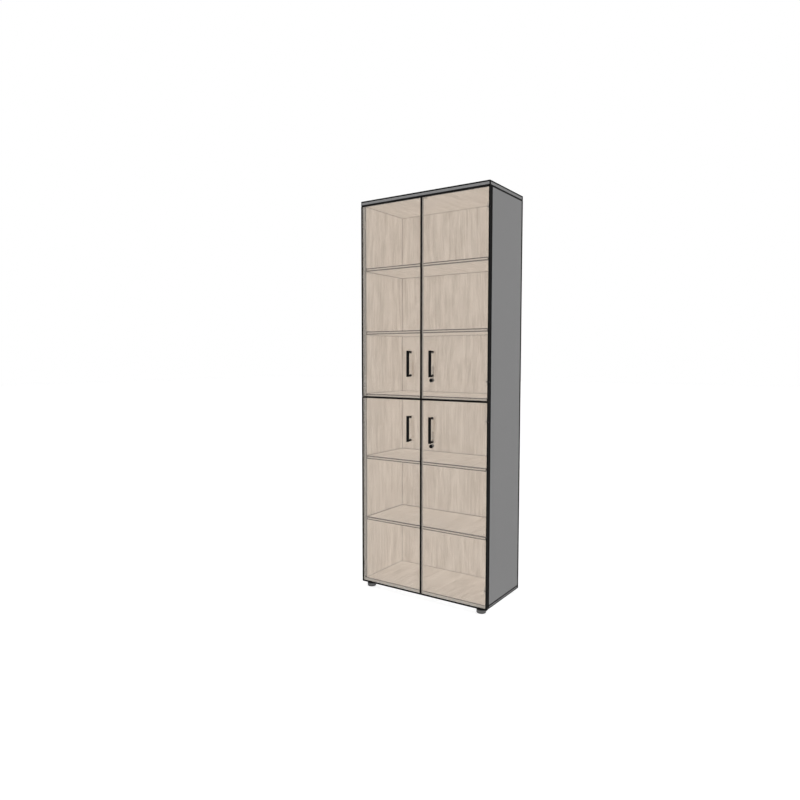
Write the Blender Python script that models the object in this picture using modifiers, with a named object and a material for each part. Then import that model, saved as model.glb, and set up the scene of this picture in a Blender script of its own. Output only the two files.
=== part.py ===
"""Tall office cupboard with four glass doors, six compartments and round feet.

Units are metres and +Z is up. The origin is on the floor, under the middle of the
whole object. The doors face -Y. Every board, pane, frame, hinge bracket, handle,
lock piece, shelf pin and foot is its own object, named as it would be on a bench.
"""
import math

import bmesh
import bpy
from mathutils import Matrix, Vector

# Overall sizes
cupboard_width = 0.800
cupboard_depth = 0.398

# Boards
top_thickness = 0.025
board_thickness = 0.016
shelf_thickness = 0.018
back_thickness = 0.008
rebate_depth = 0.008
top_edge_radius = 0.0015
board_edge_radius = 0.0008
seat_gap = 0.0003
overrun = 0.002

# Clear heights of the six compartments, counted from the bottom panel up
bay_1_height = 0.342
bay_2_height = 0.338
bay_3_height = 0.340
bay_4_height = 0.336
bay_5_height = 0.337
bay_6_height = 0.344
shelf_setback = 0.001
shelf_side_clearance = 0.001
shelf_rear_clearance = 0.001

# Doors: a pane bonded to a slim steel edge frame
glass_thickness = 0.005
glass_edge_radius = 0.0005
door_thickness = 0.018
door_gap_behind = 0.004
door_gap_beside = 0.003
door_gap_between_rows = 0.002
door_gap_over = 0.002
split_rise = 0.001
door_reveal = 0.0005
door_drop = 0.001
frame_inset = 0.0005
frame_wall = 0.002
frame_flange = 0.004
frame_flange_thickness = 0.0015

# Pivot hinges: a pin on an arm of a plate that is let into the side panel's edge
hinge_from_end = 0.100
pivot_inset = 0.008
pivot_depth = 0.010
pin_radius = 0.0025
pin_length = 0.034
pin_clearance = 0.0003
knuckle_radius = 0.0045
knuckle_thickness = 0.004
arm_width = 0.005
arm_thickness = 0.0034
arm_slot_clearance = 0.0006
hinge_block_height = 0.040
hinge_block_width = 0.0165
hinge_web = 0.0032
hinge_plate_width = 0.012
hinge_plate_height = 0.044
hinge_plate_thickness = 0.002
hinge_plate_clearance = 0.0003
peg_radius = 0.004
peg_length = 0.018
peg_spacing = 0.028

# Bar handles
handle_spacing = 0.128
handle_projection = 0.031
handle_bar_radius = 0.0080
handle_bar_length = 0.141
handle_post_radius = 0.006
handle_edge_radius = 0.0012
handle_inset = 0.0695
upper_handle_rise = 0.1895
lower_handle_drop = 0.163

# Cylinder locks under the right-hand handles
lock_drop = 0.0235
lock_inset = 0.0635
rosette_radius = 0.0100
rosette_height = 0.003
rosette_chamfer = 0.0006
lock_body_radius = 0.008
lock_nut_radius = 0.011
lock_nut_thickness = 0.004
lock_running_gap = 0.0003
barrel_radius = 0.0055
barrel_proud = 0.0004
key_slot_length = 0.0064
key_slot_width = 0.0012
key_slot_depth = 0.005
shank_side = 0.006
shank_proud = 0.002
cam_reach = 0.078
cam_width = 0.012
cam_eye_radius = 0.009
cam_thickness = 0.002
cam_gap = 0.0005

# Shelf pins
pin_hole_radius = 0.0025
pin_hole_depth = 0.008
pin_head_radius = 0.0035
pin_head_length = 0.008
pin_fit = 0.0002
pin_from_front = 0.045
pin_from_back = 0.045

# Magnetic catches behind the meeting edges of the doors
catch_width = 0.036
catch_depth = 0.015
catch_height = 0.010
catch_pole_width = 0.024
catch_pole_height = 0.0016
catch_pole_proud = 0.0008
catch_pole_spacing = 0.005
catch_edge_radius = 0.0008

# Round levelling feet
foot_height = 0.028
foot_radius = 0.025
foot_disc_height = 0.022
foot_neck_radius = 0.012
foot_edge_radius = 0.002
foot_stem_radius = 0.005
foot_stem_reach = 0.012
foot_stem_clearance = 0.0003
foot_front_side_inset = 0.045
foot_rear_side_inset = 0.075
foot_front_inset = 0.031
foot_rear_inset = 0.045

# Facets of round pieces
fine_steps = 32
middle_steps = 20
small_steps = 12
merge_distance = 0.00001

# Places that follow from the sizes above
front_y = (handle_projection - cupboard_depth) / 2
rear_y = (handle_projection + cupboard_depth) / 2
pane_back_y = front_y + glass_thickness
door_back_y = front_y + door_thickness
carcass_front_y = door_back_y + door_gap_behind
back_face_y = rear_y - seat_gap - back_thickness
underside_z = foot_height
floor_z = underside_z + board_thickness
shelf_1_z = floor_z + bay_1_height
shelf_2_z = shelf_1_z + shelf_thickness + bay_2_height
middle_z = shelf_2_z + shelf_thickness + bay_3_height
shelf_3_z = middle_z + shelf_thickness + bay_4_height
shelf_4_z = shelf_3_z + shelf_thickness + bay_5_height
ceiling_z = shelf_4_z + shelf_thickness + bay_6_height
top_z = ceiling_z + top_thickness
split_z = middle_z + split_rise
outer_x = cupboard_width / 2
inner_x = outer_x - board_thickness

lower_door_z = (underside_z - door_drop, split_z - door_gap_between_rows / 2)
upper_door_z = (split_z + door_gap_between_rows / 2, ceiling_z - door_gap_over)
door_outer_x = outer_x - door_reveal
door_inner_x = door_gap_beside / 2
pivot_x = door_outer_x - pivot_inset
pivot_y = front_y + pivot_depth
hinge_plate_x = outer_x - board_thickness / 2

# Colours as linear RGB with roughness and metallic
finishes = {
    "grey_board": ((0.227, 0.227, 0.227), 0.55, 0.0),
    "oak_board": ((0.546, 0.468, 0.397), 0.55, 0.0),
    "clear_glass": ((0.82, 0.84, 0.83), 0.05, 0.0),
    "grey_frame": ((0.20, 0.19, 0.18), 0.45, 0.6),
    "black_metal": ((0.010, 0.010, 0.010), 0.40, 0.5),
    "bright_steel": ((0.55, 0.55, 0.54), 0.35, 1.0),
    "pale_plastic": ((0.50, 0.43, 0.36), 0.50, 0.0),
    "foot_plastic": ((0.22, 0.22, 0.22), 0.50, 0.0),
}


def clear_scene():
    """Remove whatever the start-up file holds."""
    for obj in list(bpy.data.objects):
        bpy.data.objects.remove(obj, do_unlink=True)


def new_collection(name):
    """A collection linked to the scene."""
    collection = bpy.data.collections.new(name)
    bpy.context.scene.collection.children.link(collection)
    return collection


def finish(name, finish_name):
    """A Principled material of one finish for one piece."""
    colour, roughness, metallic = finishes[finish_name]
    material = bpy.data.materials.new(name + "_" + finish_name)
    material.use_nodes = True
    shader = material.node_tree.nodes["Principled BSDF"]
    shader.inputs["Base Color"].default_value = (*colour, 1)
    shader.inputs["Roughness"].default_value = roughness
    shader.inputs["Metallic"].default_value = metallic
    return material


def mesh_from(name, *shapes):
    """One mesh of one or more bmesh shapes, which are freed."""
    whole = bmesh.new()
    for shape in shapes:
        part = bpy.data.meshes.new(name)
        shape.to_mesh(part)
        shape.free()
        whole.from_mesh(part)
        bpy.data.meshes.remove(part)
    mesh = bpy.data.meshes.new(name)
    whole.to_mesh(mesh)
    whole.free()
    return mesh


def box(low, high):
    """A box between two corners."""
    low = Vector(low)
    high = Vector(high)
    shape = bmesh.new()
    bmesh.ops.create_cube(shape, size=1)
    bmesh.ops.scale(shape, vec=high - low, verts=shape.verts)
    bmesh.ops.translate(shape, vec=(low + high) / 2, verts=shape.verts)
    return shape


def rod(start, end, radius, steps, end_radius=0):
    """A cylinder between two points, with rounded ends if a radius is given."""
    start = Vector(start)
    end = Vector(end)
    shape = bmesh.new()
    bmesh.ops.create_cone(shape, cap_ends=True, segments=steps, radius1=radius, radius2=radius,
                          depth=(end - start).length)
    if end_radius:
        rims = [edge for edge in shape.edges if any(len(face.verts) > 4 for face in edge.link_faces)]
        bmesh.ops.bevel(shape, geom=rims, offset=end_radius, segments=2, profile=0.5, affect="EDGES")
    turn = (end - start).to_track_quat("Z", "Y").to_matrix().to_4x4()
    bmesh.ops.transform(shape, matrix=Matrix.Translation((start + end) / 2) @ turn, verts=shape.verts)
    return shape


def add_piece(name, mesh, finish_name, location=(0, 0, 0), parent=None, edge_radius=0):
    """A named piece in the cupboard's collection, at a world place, under its parent."""
    obj = bpy.data.objects.new(name, mesh)
    cupboard.objects.link(obj)
    if not mesh.materials:
        mesh.materials.append(finish(name, finish_name))
    obj.location = Vector(location) - (parent.matrix_world.translation if parent else Vector())
    obj.parent = parent
    if edge_radius:
        round_edges(obj, edge_radius)
    return obj


def round_edges(obj, radius):
    """A rounded edge all round a piece."""
    bevel = obj.modifiers.new("edges", "BEVEL")
    bevel.width = radius
    bevel.segments = 2
    bevel.limit_method = "ANGLE"


def add_cutter(name, *shapes):
    """A hidden helper that cuts or joins."""
    obj = bpy.data.objects.new(name, mesh_from(name, *shapes))
    cutters.objects.link(obj)
    obj.hide_render = True
    obj.display_type = "WIRE"
    return obj


def combine(obj, operation, cutter):
    """A Boolean of one piece with a hidden helper, which rides with the piece."""
    modifier = obj.modifiers.new(cutter.name, "BOOLEAN")
    modifier.operation = operation
    modifier.solver = "EXACT"
    modifier.object = cutter
    cutter.parent = obj


def smooth(mesh, angle_share=0.2):
    """Round faces shaded smooth, with sharp edges kept; the share is of a half turn."""
    mesh.shade_smooth()
    mesh.set_sharp_from_angle(angle=math.pi * angle_share)


def add_empty(name, location, parent=None):
    """A hinge or turning axis that carries pieces."""
    empty = bpy.data.objects.new(name, None)
    cupboard.objects.link(empty)
    empty.location = Vector(location) - (parent.matrix_world.translation if parent else Vector())
    empty.parent = parent
    bpy.context.view_layer.update()
    return empty


def turned(name, outline, steps, finish_name, location, parent=None, rotation=(0, 0, 0)):
    """A piece turned about its own Z axis from an outline of radius and height."""
    mesh = bpy.data.meshes.new(name)
    points = [(radius, 0, height) for radius, height in outline]
    closed = outline[0][0] > 0
    edges = [(i, i + 1) for i in range(len(points) - 1)]
    if closed:
        edges.append((len(points) - 1, 0))
    mesh.from_pydata(points, edges, [])
    obj = add_piece(name, mesh, finish_name, location, parent)
    obj.rotation_euler = rotation
    screw = obj.modifiers.new("turn", "SCREW")
    screw.steps = steps
    screw.render_steps = steps
    screw.use_merge_vertices = True
    screw.merge_threshold = merge_distance
    screw.use_smooth_shade = False
    return obj


def make_carcass():
    """Top, bottom, two sides, the fixed middle shelf and the back."""
    rebate_y = back_face_y - seat_gap
    top = add_piece("top_panel", mesh_from("top_panel", box(
        (-outer_x, front_y, ceiling_z), (outer_x, rear_y, top_z))), "grey_board",
        edge_radius=top_edge_radius)
    combine(top, "DIFFERENCE", add_cutter("top_rebate", box(
        (-outer_x + rebate_depth, rebate_y, ceiling_z - overrun),
        (outer_x - rebate_depth, rear_y + overrun, ceiling_z + rebate_depth + seat_gap))))

    bottom = add_piece("bottom_panel", mesh_from("bottom_panel", box(
        (-outer_x, carcass_front_y, underside_z), (outer_x, rear_y, floor_z))), "grey_board",
        edge_radius=board_edge_radius)
    combine(bottom, "DIFFERENCE", add_cutter("bottom_rebate", box(
        (-outer_x + rebate_depth, rebate_y, floor_z - rebate_depth - seat_gap),
        (outer_x - rebate_depth, rear_y + overrun, floor_z + overrun))))
    stem_top = underside_z + foot_stem_reach + foot_stem_clearance
    holes = [rod((x, y, underside_z - overrun), (x, y, stem_top),
                 foot_stem_radius + foot_stem_clearance, small_steps) for x, y in foot_places.values()]
    combine(bottom, "DIFFERENCE", add_cutter("foot_holes", *holes))

    for side_name, side in sides.items():
        make_side_panel(side_name, side, rebate_y)

    add_piece("middle_shelf", mesh_from("middle_shelf", box(
        (-inner_x + seat_gap, carcass_front_y + shelf_setback, middle_z),
        (inner_x - seat_gap, back_face_y - seat_gap, middle_z + shelf_thickness))),
        "oak_board", edge_radius=board_edge_radius)
    back_x = outer_x - rebate_depth - seat_gap
    add_piece("back_panel", mesh_from("back_panel", box(
        (-back_x, back_face_y, floor_z - rebate_depth),
        (back_x, rear_y - seat_gap, ceiling_z + rebate_depth))), "oak_board")


def make_side_panel(side_name, side, rebate_y):
    """One side panel with its rear rebate, hinge recesses and shelf pin holes."""
    name = "side_panel_" + side_name
    low_z = floor_z + seat_gap
    high_z = ceiling_z - seat_gap
    x_pair = sorted((side * outer_x, side * inner_x))
    panel = add_piece(name, mesh_from(name, box(
        (x_pair[0], carcass_front_y, low_z), (x_pair[1], rear_y, high_z))), "grey_board",
        edge_radius=board_edge_radius)
    cut_x = sorted((side * (outer_x - rebate_depth), side * (inner_x - overrun)))
    combine(panel, "DIFFERENCE", add_cutter(name + "_rebate", box(
        (cut_x[0], rebate_y, low_z - overrun), (cut_x[1], rear_y + overrun, high_z + overrun))))

    plate_x = side * hinge_plate_x
    pocket_x = hinge_plate_width / 2 + hinge_plate_clearance
    pocket_z = hinge_plate_height / 2 + hinge_plate_clearance
    pocket_y = carcass_front_y + hinge_plate_thickness + hinge_plate_clearance
    peg_end_y = carcass_front_y + hinge_plate_thickness + peg_length + hinge_plate_clearance
    pockets = []
    pegs = []
    for z in hinge_levels():
        pockets.append(box((plate_x - pocket_x, carcass_front_y - overrun, z - pocket_z),
                           (plate_x + pocket_x, pocket_y, z + pocket_z)))
        for peg_z in (z - peg_spacing / 2, z + peg_spacing / 2):
            pegs.append(rod((plate_x, carcass_front_y, peg_z), (plate_x, peg_end_y, peg_z),
                            peg_radius + hinge_plate_clearance, small_steps))
    combine(panel, "DIFFERENCE", add_cutter(name + "_hinge_recesses", *pockets))
    combine(panel, "DIFFERENCE", add_cutter(name + "_peg_holes", *pegs))

    holes = []
    for z in shelf_levels.values():
        for y in pin_rows():
            start = (side * (inner_x - overrun), y, z - seat_gap - pin_head_radius)
            end = (side * (inner_x + pin_hole_depth + pin_fit), y, start[2])
            holes.append(rod(start, end, pin_hole_radius + pin_fit, small_steps))
    combine(panel, "DIFFERENCE", add_cutter(name + "_pin_holes", *holes))


def make_shelves():
    """Four loose shelves, each on four pins in the side panels."""
    pin_mesh = {side_name: shelf_pin_mesh(side) for side_name, side in sides.items()}
    for shelf_name, z in shelf_levels.items():
        half_width = inner_x - shelf_side_clearance
        add_piece(shelf_name, mesh_from(shelf_name, box(
            (-half_width, carcass_front_y + shelf_setback, z),
            (half_width, back_face_y - shelf_rear_clearance, z + shelf_thickness))),
            "oak_board", edge_radius=board_edge_radius)
        for side_name, side in sides.items():
            for row_name, y in zip(("front", "rear"), pin_rows()):
                place = (side * inner_x, y, z - seat_gap - pin_head_radius)
                add_piece(f"{shelf_name}_pin_{side_name}_{row_name}", pin_mesh[side_name],
                          "bright_steel", place)


def shelf_pin_mesh(side):
    """A pin with a thicker head, from its seat in the panel inwards."""
    shank = rod((side * pin_hole_depth, 0, 0), (-side * pin_head_length / 2, 0, 0),
                pin_hole_radius, small_steps)
    head = rod((-side * seat_gap, 0, 0), (-side * (seat_gap + pin_head_length), 0, 0),
               pin_head_radius, small_steps)
    mesh = union_mesh("shelf_pin", head, shank)
    smooth(mesh)
    return mesh


def union_mesh(name, *shapes):
    """One closed mesh of overlapping shapes."""
    base = bpy.data.objects.new(name, mesh_from(name, shapes[0]))
    cutters.objects.link(base)
    helpers = []
    for index, shape in enumerate(shapes[1:]):
        helper = add_cutter(f"{name}_add_{index}", shape)
        helpers.append(helper)
        modifier = base.modifiers.new(helper.name, "BOOLEAN")
        modifier.operation = "UNION"
        modifier.solver = "EXACT"
        modifier.object = helper
    graph = bpy.context.evaluated_depsgraph_get()
    mesh = bpy.data.meshes.new_from_object(base.evaluated_get(graph))
    mesh.name = name
    for obj in (base, *helpers):
        bpy.data.objects.remove(obj, do_unlink=True)
    return mesh


def make_door(row_name, side_name, z_range):
    """One door on its pivot axis: pane, edge frame, handle and, on the right, a lock."""
    side = sides[side_name]
    door_name = f"{row_name}_{side_name}_door"
    middle_height = (z_range[0] + z_range[1]) / 2
    axis = add_empty(door_name + "_axis", (side * pivot_x, pivot_y, middle_height))
    pane_x = sorted((side * door_inner_x, side * door_outer_x))
    handle_z = split_z + upper_handle_rise if row_name == "upper" else split_z - lower_handle_drop
    lock_z = handle_z - handle_spacing / 2 - lock_drop

    pane_name = door_name + "_glass"
    origin = axis.matrix_world.translation
    pane_mesh = mesh_from(pane_name, box((pane_x[0], front_y, z_range[0]),
                                         (pane_x[1], pane_back_y, z_range[1])))
    pane_mesh.transform(Matrix.Translation(-origin))
    pane = add_piece(pane_name, pane_mesh, "clear_glass", origin, axis, glass_edge_radius)
    if side_name == "right":
        hole_radius = lock_body_radius + seat_gap
        hole = rod((side * lock_inset, front_y - overrun, lock_z),
                   (side * lock_inset, pane_back_y + overrun, lock_z), hole_radius, middle_steps)
        bmesh.ops.translate(hole, vec=-origin, verts=hole.verts)
        combine(pane, "DIFFERENCE", add_cutter(pane_name + "_lock_hole", hole))

    make_door_frame(door_name, side, z_range, axis)
    make_handle(door_name, (side * handle_inset, front_y, handle_z), axis)
    if side_name == "right":
        make_lock(row_name, (side * lock_inset, front_y, lock_z), axis)


def make_door_frame(door_name, side, z_range, axis):
    """A slim frame along the pane's edge, with a slotted hinge block near each end."""
    origin = axis.matrix_world.translation
    name = door_name + "_frame"
    frame_y = (pane_back_y + seat_gap, door_back_y)
    outer_edge = door_outer_x - frame_inset
    inner_edge = door_inner_x + frame_inset
    low_z = z_range[0] + frame_inset
    high_z = z_range[1] - frame_inset

    def slab(margin, y_low, y_high):
        x_pair = sorted((side * (inner_edge + margin), side * (outer_edge - margin)))
        shape = box((x_pair[0], y_low, low_z + margin), (x_pair[1], y_high, high_z - margin))
        bmesh.ops.translate(shape, vec=-origin, verts=shape.verts)
        return shape

    frame = add_piece(name, mesh_from(name, slab(0, *frame_y)), "grey_frame", origin, axis)
    combine(frame, "DIFFERENCE", add_cutter(
        name + "_opening", slab(frame_flange, frame_y[0] - overrun, frame_y[1] + overrun)))
    combine(frame, "DIFFERENCE", add_cutter(
        name + "_channel", slab(frame_wall, frame_y[0] + frame_flange_thickness, frame_y[1] + overrun)))

    blocks = []
    slots = []
    bores = []
    block_outer = outer_edge - frame_wall / 2
    block_inner = outer_edge - hinge_block_width
    slot_inner = block_inner + hinge_web
    slot_half = knuckle_thickness / 2 + arm_slot_clearance
    for z in (z_range[0] + hinge_from_end, z_range[1] - hinge_from_end):
        block_x = sorted((side * block_outer, side * block_inner))
        slot_x = sorted((side * (outer_edge + overrun), side * slot_inner))
        blocks.append(box((block_x[0], frame_y[0], z - hinge_block_height / 2),
                          (block_x[1], frame_y[1], z + hinge_block_height / 2)))
        slots.append(box((slot_x[0], frame_y[0] - overrun, z - slot_half),
                         (slot_x[1], frame_y[1] + overrun, z + slot_half)))
        bores.append(rod((side * pivot_x, pivot_y, z - hinge_block_height / 2 - overrun),
                         (side * pivot_x, pivot_y, z + hinge_block_height / 2 + overrun),
                         pin_radius + pin_clearance, middle_steps))
    for shape in (*blocks, *slots, *bores):
        bmesh.ops.translate(shape, vec=-origin, verts=shape.verts)
    combine(frame, "UNION", add_cutter(name + "_hinge_blocks", *blocks))
    combine(frame, "DIFFERENCE", add_cutter(name + "_arm_slots", *slots))
    combine(frame, "DIFFERENCE", add_cutter(name + "_pin_bores", *bores))


def make_handle(door_name, place, axis):
    """A round bar on two round posts that stand on the pane."""
    bar_y = -(handle_projection - handle_bar_radius)
    half_bar = handle_bar_length / 2
    half_spacing = handle_spacing / 2
    shapes = [rod((0, bar_y, -half_bar), (0, bar_y, half_bar), handle_bar_radius, middle_steps,
                  handle_edge_radius)]
    for z in (-half_spacing, half_spacing):
        shapes.append(rod((0, -seat_gap, z), (0, bar_y, z), handle_post_radius, middle_steps))
    name = door_name + "_handle"
    mesh = union_mesh(name, *shapes)
    smooth(mesh)
    add_piece(name, mesh, "black_metal", place, axis)


def make_lock(row_name, place, axis):
    """A cylinder lock: housing in the pane, turning barrel and the long cam on its end."""
    face = (math.pi / 2, 0, 0)
    body_end = -(door_thickness + cam_gap - lock_running_gap)
    nut_front = -(glass_thickness + seat_gap)
    bore = barrel_radius + lock_running_gap
    make_housing(row_name, place, axis, face, body_end, nut_front, bore)

    turn = add_empty(f"{row_name}_lock_axis", place, axis)
    make_barrel(row_name, place, turn, face, body_end)

    cam_front = place[1] + door_thickness + cam_gap
    cam_name = f"{row_name}_lock_cam"
    half_hole = shank_side / 2 + lock_running_gap
    centre = (place[0], cam_front + cam_thickness / 2, place[2])
    mesh = cam_mesh(cam_name, half_hole)
    add_piece(cam_name, mesh, "bright_steel", centre, turn)


def make_housing(row_name, place, axis, face, body_end, nut_front, bore):
    """The fixed housing: rosette in front of the pane, body through it and ring nut behind it."""
    nut_back = nut_front - lock_nut_thickness
    outline = [
        (bore, rosette_height),
        (rosette_radius - rosette_chamfer, rosette_height),
        (rosette_radius, rosette_height - rosette_chamfer),
        (rosette_radius, seat_gap),
        (lock_body_radius, seat_gap),
        (lock_body_radius, nut_front),
        (lock_nut_radius, nut_front),
        (lock_nut_radius, nut_back),
        (lock_body_radius, nut_back),
        (lock_body_radius, body_end),
        (bore, body_end),
    ]
    turned(f"{row_name}_lock_housing", outline, middle_steps, "black_metal", place, axis, face)


def make_barrel(row_name, place, turn, face, body_end):
    """The turning barrel with its key slot and the square shank that drives the cam."""
    name = f"{row_name}_lock_barrel"
    barrel_front = rosette_height + barrel_proud
    cam_back = -(door_thickness + cam_gap + cam_thickness)
    half_shank = shank_side / 2
    body = rod((0, 0, body_end), (0, 0, barrel_front), barrel_radius, middle_steps)
    shank = box((-half_shank, -half_shank, cam_back - shank_proud),
                (half_shank, half_shank, body_end + key_slot_depth))
    mesh = union_mesh(name, body, shank)
    barrel = add_piece(name, mesh, "black_metal", place, turn)
    barrel.rotation_euler = face
    slot = box((-key_slot_width / 2, -key_slot_length / 2, barrel_front - key_slot_depth),
               (key_slot_width / 2, key_slot_length / 2, barrel_front + overrun))
    combine(barrel, "DIFFERENCE", add_cutter(name + "_key_slot", slot))


def cam_mesh(name, half_hole):
    """A flat bar that points up, with a round eye and a square hole, centred on its axis."""
    half_width = cam_width / 2
    tip_z = cam_reach - half_width
    eye_angle = math.asin(half_width / cam_eye_radius)
    outline = []
    eye_steps = small_steps
    for i in range(eye_steps + 1):
        angle = math.pi / 2 + eye_angle + (2 * math.pi - 2 * eye_angle) * i / eye_steps
        outline.append((cam_eye_radius * math.cos(angle), cam_eye_radius * math.sin(angle)))
    for i in range(small_steps // 2 + 1):
        angle = math.pi * i / (small_steps // 2)
        outline.append((half_width * math.cos(angle), tip_z + half_width * math.sin(angle)))
    hole = [(-half_hole, -half_hole), (-half_hole, half_hole),
            (half_hole, half_hole), (half_hole, -half_hole)]
    curve = bpy.data.curves.new(name, "CURVE")
    curve.dimensions = "2D"
    curve.fill_mode = "BOTH"
    curve.extrude = cam_thickness / 2
    for points in (outline, hole):
        spline = curve.splines.new("POLY")
        spline.points.add(len(points) - 1)
        spline.use_cyclic_u = True
        for point, (x, z) in zip(spline.points, points):
            point.co = (x, z, 0, 1)
    holder = bpy.data.objects.new(name, curve)
    cutters.objects.link(holder)
    graph = bpy.context.evaluated_depsgraph_get()
    mesh = bpy.data.meshes.new_from_object(holder.evaluated_get(graph))
    bpy.data.objects.remove(holder, do_unlink=True)
    shape = bmesh.new()
    shape.from_mesh(mesh)
    bmesh.ops.remove_doubles(shape, verts=shape.verts, dist=merge_distance)
    shape.to_mesh(mesh)
    shape.free()
    mesh.transform(Matrix.Rotation(math.pi / 2, 4, "X"))
    return mesh


def make_hinge_brackets():
    """Eight brackets: a plate with pegs in the panel's edge, an arm and the hinge pin."""
    mesh = hinge_bracket_mesh()
    for row_name, z_range in door_rows.items():
        levels = {"bottom": z_range[0] + hinge_from_end, "top": z_range[1] - hinge_from_end}
        for side_name, side in sides.items():
            for end_name, z in levels.items():
                place = (side * pivot_x, pivot_y, z)
                add_piece(f"{row_name}_{side_name}_{end_name}_hinge_bracket", mesh[side_name],
                          "bright_steel", place)


def hinge_bracket_mesh():
    """The bracket for each side, about its pin's axis."""
    meshes = {}
    for side_name, side in sides.items():
        plate_front = carcass_front_y - pivot_y
        plate_back = plate_front + hinge_plate_thickness
        plate_x = side * (hinge_plate_x - pivot_x)
        half_plate = hinge_plate_width / 2
        plate = box((plate_x - half_plate, plate_front, -hinge_plate_height / 2),
                    (plate_x + half_plate, plate_back, hinge_plate_height / 2))
        pin = rod((0, 0, -pin_length / 2), (0, 0, pin_length / 2), pin_radius, small_steps)
        knuckle = rod((0, 0, -knuckle_thickness / 2), (0, 0, knuckle_thickness / 2),
                      knuckle_radius, middle_steps)
        arm = box((-arm_width / 2, 0, -arm_thickness / 2),
                  (arm_width / 2, plate_front + hinge_plate_thickness / 2, arm_thickness / 2))
        shapes = [plate, arm, knuckle, pin]
        for peg_z in (-peg_spacing / 2, peg_spacing / 2):
            shapes.append(rod((plate_x, plate_back - hinge_plate_thickness / 2, peg_z),
                              (plate_x, plate_back + peg_length, peg_z), peg_radius, small_steps))
        mesh = union_mesh(f"{side_name}_hinge_bracket", *shapes)
        smooth(mesh)
        meshes[side_name] = mesh
    return meshes


def make_catches():
    """A magnetic catch under the top panel and one under the middle shelf."""
    for name, level in (("upper_magnet_catch", ceiling_z), ("lower_magnet_catch", middle_z)):
        front = door_back_y + seat_gap + catch_pole_proud
        high = level - seat_gap
        low = high - catch_height
        catch = add_piece(name, mesh_from(name, box(
            (-catch_width / 2, front, low), (catch_width / 2, front + catch_depth, high))),
            "pale_plastic", edge_radius=catch_edge_radius)
        poles = []
        for offset in (-catch_pole_spacing / 2, catch_pole_spacing / 2):
            pole_z = (low + high) / 2 + offset
            poles.append(box((-catch_pole_width / 2, front - catch_pole_proud, pole_z - catch_pole_height / 2),
                             (catch_pole_width / 2, front + catch_depth / 2, pole_z + catch_pole_height / 2)))
        combine(catch, "UNION", add_cutter(name + "_poles", *poles))


def make_feet():
    """Four round feet, each a turned disc with a neck and a stem in the bottom panel."""
    outline = [
        (0, underside_z + foot_stem_reach),
        (foot_stem_radius, underside_z + foot_stem_reach),
        (foot_stem_radius, underside_z - seat_gap),
        (foot_neck_radius, underside_z - seat_gap),
        (foot_neck_radius, foot_disc_height),
        (foot_radius - foot_edge_radius, foot_disc_height),
        (foot_radius, foot_disc_height - foot_edge_radius),
        (foot_radius, foot_edge_radius),
        (foot_radius - foot_edge_radius, 0),
        (0, 0),
    ]
    for name, (x, y) in foot_places.items():
        turned(name, outline, fine_steps, "foot_plastic", (x, y, 0))


def hinge_levels():
    """Heights of the hinges of all doors on one side."""
    levels = []
    for z_range in door_rows.values():
        levels += [z_range[0] + hinge_from_end, z_range[1] - hinge_from_end]
    return levels


def pin_rows():
    """Depths of the two shelf pins on each side."""
    return carcass_front_y + pin_from_front, back_face_y - pin_from_back


sides = {"left": -1, "right": 1}
door_rows = {"upper": upper_door_z, "lower": lower_door_z}
shelf_levels = {
    "shelf_1": shelf_1_z,
    "shelf_2": shelf_2_z,
    "shelf_3": shelf_3_z,
    "shelf_4": shelf_4_z,
}
foot_places = {
    "foot_front_left": (-outer_x + foot_front_side_inset, front_y + foot_front_inset),
    "foot_front_right": (outer_x - foot_front_side_inset, front_y + foot_front_inset),
    "foot_rear_left": (-outer_x + foot_rear_side_inset, rear_y - foot_rear_inset),
    "foot_rear_right": (outer_x - foot_rear_side_inset, rear_y - foot_rear_inset),
}

clear_scene()
cupboard = new_collection("office_cupboard")
cutters = new_collection("cutters")
make_carcass()
make_shelves()
make_hinge_brackets()
for row, heights in door_rows.items():
    for hinge_side in sides:
        make_door(row, hinge_side, heights)
make_catches()
make_feet()
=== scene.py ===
"""The finished look of a tall office cupboard with four glass doors.

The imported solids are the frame, and keep their places and shapes. This script gives them
their materials and adds the thin trims and small fasteners that are seen close up.
Lengths are in metres, +Z is up and the doors face -Y.
"""
import math
from collections import namedtuple

import bmesh
import bpy
from mathutils import Matrix, Vector


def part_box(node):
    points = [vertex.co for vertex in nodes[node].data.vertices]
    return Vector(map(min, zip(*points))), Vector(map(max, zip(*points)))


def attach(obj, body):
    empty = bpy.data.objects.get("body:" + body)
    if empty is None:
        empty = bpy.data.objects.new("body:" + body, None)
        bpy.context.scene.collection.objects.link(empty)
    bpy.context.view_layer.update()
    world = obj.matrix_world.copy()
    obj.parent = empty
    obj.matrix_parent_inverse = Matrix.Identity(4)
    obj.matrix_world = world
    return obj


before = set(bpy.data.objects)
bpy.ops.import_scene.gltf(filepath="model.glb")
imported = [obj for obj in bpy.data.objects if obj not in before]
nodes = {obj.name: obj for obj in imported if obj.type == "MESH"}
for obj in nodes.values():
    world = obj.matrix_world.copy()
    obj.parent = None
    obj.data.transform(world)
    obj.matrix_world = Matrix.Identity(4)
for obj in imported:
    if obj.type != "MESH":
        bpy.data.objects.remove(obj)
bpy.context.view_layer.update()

# The camera, worked out from the corners, shelves and handles in the photograph
sensor_mm = 36.0
lens_mm = 28.70
camera_place = (1.83205, -3.07081, 1.32060)
camera_pitch_deg = -3.7503
camera_yaw_deg = 34.2761

# Light: an even world, soft lamps all round, and an even fill from six sides without shadows
world_light = 0.17
background_light = 1.0
lamp_count = 8
lamp_light = 0.055
lamp_height_deg = 12
lamp_spread_deg = 40
fill_light = (0.308, 0.272, 0.280)
floor_size = 60.0
floor_drop = 0.0002
floor_glow = 0.49
floor_roughness = 0.9

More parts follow.
